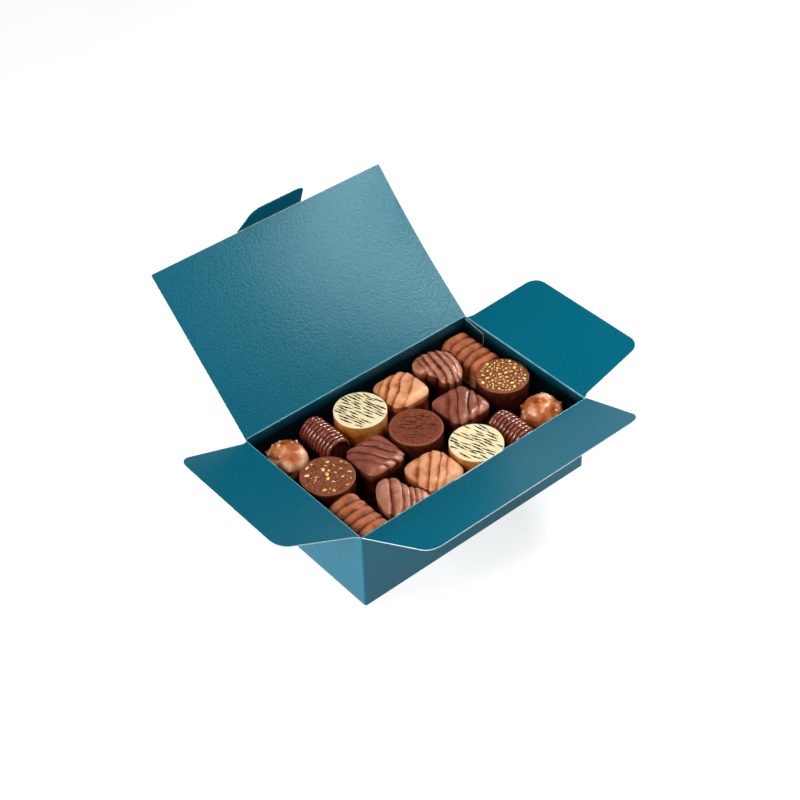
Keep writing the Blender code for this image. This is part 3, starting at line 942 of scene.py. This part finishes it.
@dataclass
class RidgedDome(Praline):
    """A praline with a crowned top, crossed by soft drapes that end in scallops on its upper edge."""

    finish: Couverture
    outline: Radius
    shoulder: float
    crown: float
    slant: float  # direction of the drapes from +X, in degrees
    grooves: Sequence[tuple[float, float, float]]  # place across, depth and width in mm, as above
    turn: float = 0.0
    depth: float = 1.05 * MM
    steep: float = 0.6  # one drape lies on the next, so a groove falls off faster on one side
    gentle: float = 1.7
    groove_power: float = 1.4  # the form of a groove's flanks
    deepest: float = 1.1
    sways: Sequence[tuple[float, float, float]] = ((0.09, 11 * MM, 0), (0.02, 3 * MM, 5))
    fading: tuple[float, float, float] = (0.45, 7 * MM, 9)  # how a groove's depth varies along it
    draft: float = 0.2 * MM
    crown_form: tuple[float, float] = (2.6, 0.7)  # the powers that flatten the crown and round its edge
    ring_power: float = 1.9  # crowds the rings towards the edge
    edge_start: float = 0.72  # the share of the radius where the drapes begin to turn down
    edge_drop: float = 0.75  # the share of the drapes' height that they lose there
    scallop: float = 0.9  # how far they push the edge out, as a share of their depth
    scallop_middle: float = 0.7  # the height of the drapes that leaves the edge where it is
    scallop_fall: tuple[float, float] = (0.06, 0.42)  # where down the side the scallops end
    # how much of the drapes' painted shade and highlight carries onto the side
    side_relief: float = 0.7
    steps: int = 200
    top_rings: int = 60
    side_rings: int = 24

    def proud_at(self, x: np.ndarray, y: np.ndarray, low: float, high: float) -> np.ndarray:
        """How far each place stands proud, from 0 in a groove to 1 on a crest.

        Args:
            x: places along X.
            y: places along Y.
            low: the least reach across the drapes.
            high: the greatest reach across the drapes.

        Returns:
            One value for each place.
        """
        along, across = turned(x, y, -self.slant)
        spot = np.stack([along, across, np.zeros_like(along)], -1)
        key = 10 * len(self.node) + self.slant
        half = (high - low) / 2
        place = (across - low) / half - 1
        for share, size, offset in self.sways:
            place = place + share * wander(spot, size, key + offset)
        share, size, offset = self.fading
        strength = 0.9 + share * wander(spot * np.array([1, 0.4, 1]), size, key + offset)
        sunk = np.zeros_like(place)
        for middle, depth, width in self.grooves:
            away = (place - middle) * half / (width * MM)
            away = away / np.where(away < 0, self.steep, self.gentle)
            sunk = np.maximum(sunk, depth * strength * np.exp(-(np.abs(away) ** self.groove_power)))
        return 1 - np.clip(sunk, 0, self.deepest)

    def build(self, materials: Materials) -> None:
        """Makes the praline.

        Args:
            materials: the finishes by name.
        """
        angle = np.arange(self.steps) / self.steps * math.tau
        radius = self.outline(angle)
        cos, sin = np.cos(angle), np.sin(angle)
        across = turned(cos * radius, sin * radius, -self.slant)[1]
        low, high = across.min(), across.max()
        flatten, soften = self.crown_form
        rings, reliefs = [], []
        for k in range(1, self.top_rings + 1):
            level = 1 - (1 - k / self.top_rings) ** self.ring_power
            x, y = cos * radius * level, sin * radius * level
            height = self.shoulder + self.crown * (1 - level**flatten) ** soften
            proud = self.proud_at(x, y, low, high)
            edge = smoothstep(self.edge_start, 1.0, np.full_like(x, level))
            lift = self.depth * proud * (1 - self.edge_drop * edge)
            scallop = self.scallop * self.depth * (proud - self.scallop_middle)
            push = scallop * edge
            rings.append(np.stack([x + cos * push, y + sin * push, height + lift], -1))
            reliefs.append(proud)
        for k in range(1, self.side_rings + 1):
            fall = k / self.side_rings
            fade = 1 - smoothstep(*self.scallop_fall, np.full_like(cos, fall))
            push = self.draft * fall + scallop * fade
            height = self.shoulder * (1 - fall) + lift * (1 - fall) ** 4
            rings.append(np.stack([cos * (radius + push), sin * (radius + push), height], -1))
            # painted shade: the side darkens to the groove colour towards its foot
            reliefs.append(proud * fade * self.side_relief)
        points = np.array(rings)
        if self.turn:
            points[..., 0], points[..., 1] = turned(points[..., 0], points[..., 1], self.turn)
        mesh = lofted(self.node, self.settled(points), np.array(reliefs))
        slot = "milk_chocolate" if self.node.startswith("milk") else "dark_chocolate"
        self.serve(mesh, [materials[self.finish.name]], slot)


@dataclass
class NutBall(Praline):
    """A ball of chopped nuts under a thin coat of milk chocolate: rounded bumps and a few sharper nibs."""

    seed: int
    turn: float = 0.0
    radius: float = 11.6 * MM
    lift: float = 8.6 * MM
    bumps: int = 26
    bump_heights: tuple[float, float] = (0.4 * MM, 1.7 * MM)
    bump_sharpness: tuple[float, float] = (12, 45)
    nibs: int = 34
    nib_heights: tuple[float, float] = (0.3 * MM, 1.2 * MM)
    nib_sharpness: tuple[float, float] = (220, 700)
    folds: Sequence[tuple[float, float]] = ((0.25 * MM, 0.32), (0.04 * MM, 0.1))  # height, width in radii
    foot_shade: tuple[float, float] = (-0.55, 0.5)  # painted shade, darkening the ball's foot up to here in radii
    subdivisions: int = 6

    def build(self, materials: Materials) -> None:
        """Makes the ball.

        Args:
            materials: the finishes by name.
        """
        bm = bmesh.new()
        bmesh.ops.create_icosphere(bm, subdivisions=self.subdivisions, radius=1)
        mesh = taken_from(bm, self.node)
        way = np.array([vert.co.normalized() for vert in mesh.vertices])
        draw = random.Random(self.seed)
        grow = np.zeros(len(way))
        for number in range(self.bumps + self.nibs):
            spot = np.array(Vector([draw.gauss(0, 1) for _ in range(3)]).normalized())
            bump = number < self.bumps
            size = draw.uniform(*(self.bump_heights if bump else self.nib_heights))
            sharp = draw.uniform(*(self.bump_sharpness if bump else self.nib_sharpness))
            lump = size * np.exp(sharp * (way @ spot - 1))
            grow = np.maximum(grow, lump) if bump else grow + lump
        fold = sum(height * wander(way, width, self.seed) for height, width in self.folds)
        points = way * (self.radius + grow + fold)[:, None]
        points[:, 2] = np.maximum(points[:, 2] + self.lift, 0)
        points[:, 0], points[:, 1] = turned(points[:, 0], points[:, 1], self.turn)
        mesh.vertices.foreach_set("co", self.settled(points).reshape(-1))
        # the bumps are painted paler, a painted highlight, and the lower half darker, a painted shade
        relief = np.clip(0.3 + grow / (1.5 * MM) + 0.9 * fold / MM, 0, 1)
        set_relief(mesh, relief * smoothstep(*self.foot_shade, way[:, 2]))
        self.serve(mesh, [materials[MILK_ENROBED.name]], "milk_chocolate")


@dataclass
class RidgedLog(Praline):
    """A small glossy log with fine uneven rings round it and rounded ends, lying along Y."""

    turn: float = 0.0
    half: float = 14 * MM
    face: float = 0.8 * MM  # the length of each plain end
    radius: float = 8.7 * MM
    taper: float = 0.42
    rings: int = 10
    groove: float = 0.85 * MM
    crest: float = 0.42  # the power that broadens the crest of a ring
    sway: float = 0.34 * MM
    stretch: float = 1.05
    end_drop: float = 2.6 * MM
    end_shares: Sequence[float] = (0.05, 0.45, 0.8, 0.95)  # the rings across each end, of its radius
    end_relief: float = 0.3
    steps: int = 110
    per_ring: int = 16

    def envelope(self, place: float) -> float:
        """The radius over the crests at a place along the log."""
        return self.radius * math.sqrt(1 - self.taper * min(1, abs(place / self.half)) ** 5)

    def build(self, materials: Materials) -> None:
        """Makes the log.

        Args:
            materials: the finishes by name.
        """
        reach = self.half - self.face
        angle = np.arange(self.steps) / self.steps * math.tau
        cos, sin = np.cos(angle), np.sin(angle)
        key = 3.0 if self.turn else 0.0
        end = self.envelope(self.half) - self.end_drop
        first, last = (
            [np.stack([cos * end * s, np.full_like(cos, y), sin * end * s], -1) for s in self.end_shares]
            for y in (self.half, -self.half)
        )
        plain = [np.full_like(cos, self.end_relief)] * len(self.end_shares)
        rings, reliefs = first, plain[:]
        count = self.rings * self.per_ring
        for k in range(count + 1):
            place = reach * (1 - 2 * k / count)
            number, part = divmod(k / self.per_ring, 1)
            spot = np.stack([cos * 0.8, sin * 0.8, np.full_like(cos, 0.8 * number)], -1)
            size = 1 + 0.3 * wander(spot, 0.45, key + 7)
            wave = math.sin(math.pi * part) ** self.crest if 0 < part < 1 else 0.0
            ring = self.envelope(place) - self.groove + self.groove * wave * np.clip(size, 0.6, 1.25)
            shift = self.sway * wander(spot, 0.55, key) * (wave > 0)
            rings.append(np.stack([cos * ring, place + shift, sin * ring], -1))
            reliefs.append(np.full_like(cos, wave * 0.9))
        rings += last[::-1]
        reliefs += plain
        points = np.array(rings)
        points[..., 2] = (points[..., 2] + self.radius) * self.stretch
        if self.turn:
            points[..., :2] *= -1
        mesh = lofted(self.node, self.settled(points)[:, ::-1], np.array(reliefs)[:, ::-1])
        self.serve(mesh, [materials[DARK_GLAZED.name]], "dark_chocolate")


@dataclass
class StripedLog(Praline):
    """A bar with an arched top, over which the chocolate lies in five drapes with dark grooves between."""

    half_width: float = 10 * MM
    half_length: float = 15.2 * MM
    side: float = 10.4 * MM
    arch: float = 6.2 * MM
    arch_power: float = 0.75  # under 1, so that the arch is full
    lobes: int = 5
    lobe_form: tuple[Sequence[float], Sequence[float]] = (
        (0, 0.07, 0.28, 0.6, 0.88, 1.0),  # places along one drape
        (1.0, 0.72, 0.22, 0.0, 0.3, 1.0),  # how deep it lies there, of the groove
    )
    groove: float = 0.95 * MM
    end_insets: Sequence[float] = (1.2 * MM, 0.4 * MM)  # the rings that close an end, from its middle
    widen: float = 0.2 * MM  # how much wider the foot is than the shoulder
    per_lobe: int = 22
    arch_steps: int = 60
    side_steps: int = 14

    def build(self, materials: Materials) -> None:
        """Makes the bar.

        Args:
            materials: the finishes by name.
        """
        key = float(len(self.node))
        turn = math.pi * (1 - np.arange(self.arch_steps + 1) / self.arch_steps)
        rise = np.arange(self.side_steps) / self.side_steps
        wall, none = np.ones(self.side_steps), np.zeros(self.side_steps)
        flank = np.concatenate([-wall, np.cos(turn), wall])
        level = np.concatenate([rise, np.ones(self.arch_steps + 1), rise[::-1]])
        bulge = np.concatenate([none, np.sin(turn) ** self.arch_power, none])
        count = self.lobes * self.per_lobe
        places = [(0, inset) for inset in self.end_insets]
        places += [(k, 0.0) for k in range(count + 1)]
        places += [(count, inset) for inset in self.end_insets[::-1]]
        rings, reliefs = [], []
        for k, end_inset in places:
            share = k / count
            spot = np.stack([flank, bulge, np.full_like(flank, 3 * share)], -1)
            sway = 0.045 * wander(spot, 0.8, key) + 0.012 * wander(spot, 0.25, key)
            phase = np.clip(share + 0.6 * sway, 0, 1) * self.lobes
            depth = np.interp(phase % 1, *self.lobe_form)
            depth = np.where((phase <= 0) | (phase >= self.lobes), 1.0, depth)
            depth = depth * np.clip(level * 1.6 - 0.5, 0, 1)
            inset = self.groove * depth + end_inset
            width = self.half_width + self.widen * (1 - level) - 0.55 * inset
            height = self.side * level + self.arch * bulge - inset * level
            along = self.half_length * (2 * share - 1)
            rings.append(np.stack([width * flank, np.full_like(flank, along), height], -1))
            reliefs.append(1 - depth)
        mesh = lofted(self.node, self.settled(np.array(rings)), np.array(reliefs) * 0.9)
        self.serve(mesh, [materials[MILK_DRAPED.name]], "milk_chocolate")


@dataclass
class CastRound(Praline):
    """A round cast praline: slightly tapered sides with a soft edge, and a nearly flat top."""

    top_finish: Couverture
    # the side's finish is a darker copy of the top's finish: painted shade
    shaded_side_finish: Couverture
    slot: str
    radius: float = 15 * MM
    height: float = 18 * MM
    edge: float = 0.7 * MM
    draft: float = 0.2 * MM
    waver: float = 0.07 * MM  # how far the side is from round
    grain: float = 0.05 * MM  # the height of the top's unevenness
    grain_size: float = 2.2 * MM
    rim_share: float = 0.9  # the top's unevenness fades out from here to the edge
    shade_depth: float = 0.25 * MM  # the lift that takes the top's painted light and shade over its whole range
    steps: int = 220
    top_rings: int = 76
    edge_rings: int = 6
    side_rings: int = 22

    def relief_at(self, x: np.ndarray, y: np.ndarray) -> np.ndarray:
        """The height of the top above its plain level.

        Args:
            x: places along X, round the piece's own middle.
            y: places along Y.

        Returns:
            One height for each place.
        """
        spot = np.stack([x, y, np.zeros_like(x)], -1)
        key = float(len(self.node))
        coarse, fine = (wander(spot, size, key) for size in (self.grain_size, self.grain_size / 3))
        return self.grain * (coarse + 0.6 * fine)

    def build(self, materials: Materials) -> Vector:
        """Makes the praline.

        Args:
            materials: the finishes by name.

        Returns:
            The place of its foot's middle.
        """
        angle = np.arange(self.steps) / self.steps * math.tau
        cos, sin = np.cos(angle), np.sin(angle)
        rings, reliefs = [], []
        flat = self.radius - self.edge
        for k in range(1, self.top_rings + 1):
            reach = flat * k / self.top_rings
            x, y = cos * reach, sin * reach
            fade = 1 - smoothstep(self.rim_share, 1.0, np.full_like(x, reach / flat))
            lift = self.relief_at(x, y) * fade
            rings.append(np.stack([x, y, self.height + lift], -1))
            # raised bits of the top are painted lighter and sunk ones, the wrinkles among them, darker:
            # painted light and shade
            reliefs.append(np.clip(0.6 + lift / self.shade_depth, 0, 1))
        for turn in np.linspace(0, math.pi / 2, self.edge_rings + 1)[1:]:
            reach = flat + self.edge * math.sin(turn)
            level = self.height - self.edge * (1 - math.cos(turn))
            rings.append(np.stack([cos * reach, sin * reach, np.full_like(cos, level)], -1))
            # a painted highlight along the rounded edge
            reliefs.append(np.full_like(cos, 0.95))
        for k in range(1, self.side_rings + 1):
            fall = k / self.side_rings
            level = (self.height - self.edge) * (1 - fall)
            spot = np.stack([cos * 2, sin * 2, np.full_like(cos, fall)], -1)
            reach = self.radius + self.draft * fall + self.waver * wander(spot, 0.7)
            rings.append(np.stack([cos * reach, sin * reach, np.full_like(cos, level)], -1))
            # painted shade: the side darkens towards its foot
            reliefs.append(np.full_like(cos, 0.75 * (1 - fall)))
        points = np.array(rings)
        move = middle_of(points, self.node)
        mesh = lofted(self.node, points + np.array(move), np.array(reliefs))
        below = move.z + self.height - 0.9 * self.edge
        finishes = [materials[self.top_finish.name], materials[self.shaded_side_finish.name]]
        for face in mesh.polygons:
            face.material_index = int(face.center.z < below)
        self.serve(mesh, finishes, self.slot)
        return move


@dataclass
class WrinkledRound(CastRound):
    """A round praline with a thin lip, and fine wavy wrinkles across the middle of its top."""

    lip: float = 0.04 * MM
    lip_place: tuple[float, float] = (1.3 * MM, 0.8 * MM)  # its foot and its top, in from the edge
    wrinkle: float = 0.7 * MM
    pitch: float = 2.1 * MM
    crack: float = 0.3  # how wide a wrinkle is, as a share of the wave
    heading: float = -40.0  # direction of the wrinkles from +X, in degrees
    wrinkled: tuple[float, float] = (0.55, 0.88)  # the shares of the radius over which they end

    def relief_at(self, x: np.ndarray, y: np.ndarray) -> np.ndarray:
        """The height of the top above its plain level.

        Args:
            x: places along X, round the piece's own middle.
            y: places along Y.

        Returns:
            One height for each place.
        """
        along, across = turned(x, y, -self.heading)
        spot = np.stack([along * 0.3, across, np.zeros_like(x)], -1)
        sway = 1.5 * MM * wander(spot, 2.4 * MM, 4.0) + 0.5 * MM * wander(spot, 0.9 * MM, 9.0)
        wave = np.abs(np.sin(math.pi * (across + sway) / self.pitch))
        crack = np.exp(-((wave / self.crack) ** 2))
        broken = smoothstep(-0.05, 0.35, wander(spot, 3.2 * MM, 21.0) + 0.22)
        inside = 1 - smoothstep(*self.wrinkled, np.hypot(along, across * 1.15) / self.radius)
        foot, top = (self.radius - inwards for inwards in self.lip_place)
        sunk = -self.lip * (1 - smoothstep(foot, top, np.hypot(x, y)))
        return super().relief_at(x, y) - self.wrinkle * crack * broken * inside + sunk


@dataclass
class StreakedRound(CastRound):
    """A round white praline, printed with short dark streaks that lie nearly along Y."""

    seed: int = 1
    heading: float = 107.0  # direction of the streaks from +X, in degrees
    skew: float = 10.0  # how far one streak may turn from it
    bend: float = 0.35 * MM
    row: float = 2.0 * MM
    pitch: float = 7.6 * MM
    lengths: tuple[float, float] = (5.6 * MM, 9.6 * MM)
    widths: tuple[float, float] = (1.0 * MM, 1.4 * MM)
    kept: float = 0.93  # the share of the places that take a streak
    margin: float = 0.5 * MM
    film: float = 0.07 * MM  # the thickness of the print, drawn a little thicker than real
    profile: Sequence[tuple[float, float]] = ((-1, -0.5), (-0.45, 1), (0.45, 1), (1, -0.5))
    streak_steps: int = 9

    def streak(
        self, bm: bmesh.types.BMesh, draw: random.Random, along: float, across: float, move: Vector
    ) -> None:
        """Adds one streak: a slightly bent lens with pointed ends and a crowned top.

        Args:
            bm: the mesh that takes it.
            draw: the random source.
            along: its middle, along the streaks.
            across: its middle, across the streaks.
            move: the place of the praline's foot.
        """
        half = draw.uniform(*self.lengths) / 2
        width = draw.uniform(*self.widths) / 2
        skew = self.heading + draw.uniform(-self.skew, self.skew)
        bend = draw.uniform(-self.bend, self.bend)
        cx, cy = turned(along, across, self.heading)
        limit = self.radius - self.margin
        rows = []
        for k in range(self.streak_steps + 1):
            share = 2 * k / self.streak_steps - 1
            swell = max(0.12, (1 - abs(share) ** 2.2)) * (1 + 0.25 * math.sin(9 * share + 0.9 * cx / MM))
            row = []
            for side, rise in self.profile:
                aside = side * width * swell + bend * (1 - share * share)
                dx, dy = turned(half * share, aside, skew)
                x, y = cx + dx, cy + dy
                inwards = limit / max(limit, math.hypot(x, y))
                row.append((x * inwards, y * inwards, self.film * rise))
            rows.append(row)
        flat = np.array(rows)
        flat[..., 2] += self.height + self.relief_at(flat[..., 0], flat[..., 1])
        verts = [[bm.verts.new(Vector(point) + move) for point in row] for row in flat.tolist()]
        for one, two in zip(verts, verts[1:]):
            for i in range(3):
                bm.faces.new((one[i], one[i + 1], two[i + 1], two[i]))
            bm.faces.new((one[3], one[0], two[0], two[3]))
        bm.faces.new(verts[0][::-1])
        bm.faces.new(verts[-1])

    def build(self, materials: Materials) -> Vector:
        """Makes the praline and its streaks.

        Args:
            materials: the finishes by name.

        Returns:
            The place of its foot's middle.
        """
        move = super().build(materials)
        draw = random.Random(self.seed)
        bm = bmesh.new()
        limit = self.radius - self.margin
        rows = int(limit / self.row)
        for i in range(-rows, rows + 1):
            across = i * self.row + draw.uniform(-0.3, 0.3) * MM
            start = draw.uniform(0, self.pitch)
            for j in range(-4, 4):
                along = start + j * self.pitch + draw.uniform(-0.7, 0.7) * MM
                if math.hypot(along, across) < limit - 0.6 * MM and draw.random() < self.kept:
                    self.streak(bm, draw, along, across, move)
        bmesh.ops.recalc_face_normals(bm, faces=bm.faces)
        name = f"{self.node}_streaks"
        show(name, taken_from(bm, name), [materials[COCOA_PRINT.name]], "box")
        return move


@dataclass
class SpeckedRound(CastRound):
    """A round dark praline with golden flakes and crumbs scattered over its rough top."""

    seed: int = 1
    flakes: int = 24
    crumbs: int = 36
    flake_sizes: tuple[float, float] = (0.6 * MM, 1.4 * MM)
    crumb_sizes: tuple[float, float] = (0.2 * MM, 0.4 * MM)
    margin: float = 1.3 * MM
    apart: float = 1.25  # the least distance of two flakes, as a share of their sizes
    thickness: float = 0.32  # of a flake, as a share of its length
    most_tries: int = 4000
    sharp_from: float = 40.0  # degrees

    def build(self, materials: Materials) -> Vector:
        """Makes the praline and its flakes.

        Args:
            materials: the finishes by name.

        Returns:
            The place of its foot's middle.
        """
        move = super().build(materials)
        draw = random.Random(self.seed)
        bm = bmesh.new()
        limit = self.radius - self.margin
        spots: list[tuple[Vector, float]] = []
        for _ in range(self.most_tries):
            if len(spots) == self.flakes + self.crumbs:
                break
            sizes = self.flake_sizes if len(spots) < self.flakes else self.crumb_sizes
            size = draw.uniform(*sizes)
            spot = Vector((draw.uniform(-1, 1), draw.uniform(-1, 1))) * limit
            near = any((spot - other).length < self.apart * (size + reach) for other, reach in spots)
            if spot.length > limit - size / 2 or near:
                continue
            spots.append((spot, size))
            self.flake(bm, draw, spot, size, move)
        name = f"{self.node}_flakes"
        mesh = taken_from(bm, name, self.sharp_from)
        show(name, mesh, [materials[GOLDEN_FLAKE.name]], "box")
        return move

    def flake(
        self, bm: bmesh.types.BMesh, draw: random.Random, spot: Vector, size: float, move: Vector
    ) -> None:
        """Adds one flake: an uneven flat chip, pressed into the top.

        Args:
            bm: the mesh that takes it.
            draw: the random source.
            spot: its place from the praline's middle.
            size: half its length.
            move: the place of the praline's foot.
        """
        found = bmesh.ops.create_icosphere(bm, subdivisions=2, radius=1)["verts"]
        turn, slim = math.degrees(draw.uniform(0, math.tau)), draw.uniform(0.35, 0.75)
        key = draw.uniform(0, 90)
        for vert in found:
            swell = 1 + 0.45 * noise.noise(vert.co * 1.3 + Vector((key, 0, 0)))
            x, y = turned(vert.co.x * size * swell, vert.co.y * size * slim * swell, turn)
            z = vert.co.z * size * self.thickness
            vert.co = Vector((spot.x + x, spot.y + y, self.height + z)) + move


@dataclass
class UpperLayer:
    """The seventeen pralines that show, in three rows."""

    finishes: Sequence[Couverture | Mottled] = (
        MILK_MOULDED,
        MILK_ENROBED,
        MILK_DRAPED,
        DARK_MOULDED,
        DARK_DROP,
        DARK_GLAZED,
        DARK_SCRAPED,
        DARK_SIDE_SHADE,
        WHITE_CAST,
        WHITE_FLANK_SHADE,
        COCOA_PRINT,
        GOLDEN_FLAKE,
    )
    milk_square: tuple[Any, ...] = (MILK_MOULDED, MILK_SQUARE, 14.2 * MM, 3.4 * MM)
    dark_square: tuple[Any, ...] = (DARK_MOULDED, DARK_SQUARE, 14.8 * MM, 2.8 * MM)
    drop: tuple[Any, ...] = (DARK_DROP, DROP, 13.8 * MM, 3.8 * MM)
    scraped: tuple[Any, ...] = (DARK_SCRAPED, DARK_SIDE_SHADE, "dark_chocolate")
    white: tuple[Any, ...] = (WHITE_CAST, WHITE_FLANK_SHADE, "white_chocolate")
    rough: float = 0.1 * MM  # the grain of the specked rounds' tops
    small_flakes: tuple[float, float] = (0.5 * MM, 1.35 * MM)

    def build(self) -> None:
        """Makes the finishes and every praline."""
        materials = {finish.name: finish.build() for finish in self.finishes}
        specks = {"flakes": 80, "crumbs": 50, "flake_sizes": self.small_flakes}
        pieces = (
            NutBall("nut_ball_left", SEED),
            RidgedLog("ridged_log_left"),
            StreakedRound("white_round_left", *self.white, seed=3),
            RidgedDome("milk_square_back", *self.milk_square, 36, MILK_BACK),
            RidgedDome("drop_back", *self.drop, 75, DROP_BACK),
            StripedLog("striped_log_back"),
            SpeckedRound("specked_round_left", *self.scraped, grain=self.rough, seed=5),
            RidgedDome("dark_square_left", *self.dark_square, 122, DARK_LEFT),
            WrinkledRound("plain_round", *self.scraped),
            RidgedDome("dark_square_right", *self.dark_square, 50, DARK_RIGHT),
            SpeckedRound("specked_round_right", *self.scraped, grain=self.rough, seed=8, **specks),
            StripedLog("striped_log_front"),
            RidgedDome("drop_front", *self.drop, 54, DROP_FRONT, turn=180),
            RidgedDome("milk_square_front", *self.milk_square, 45, MILK_FRONT),
            StreakedRound("white_round_right", *self.white, seed=11),
            RidgedLog("ridged_log_right", turn=180),
            NutBall("nut_ball_right", SEED + 16, turn=140),
        )
        for piece in pieces:
            piece.build(materials)


def main() -> None:
    """Builds the studio, the carton and the pralines."""
    logging.basicConfig(level=logging.INFO, format="%(name)s: %(message)s")
    Studio().build()
    Carton().build()
    UpperLayer().build()


if __name__ == "__main__":
    main()
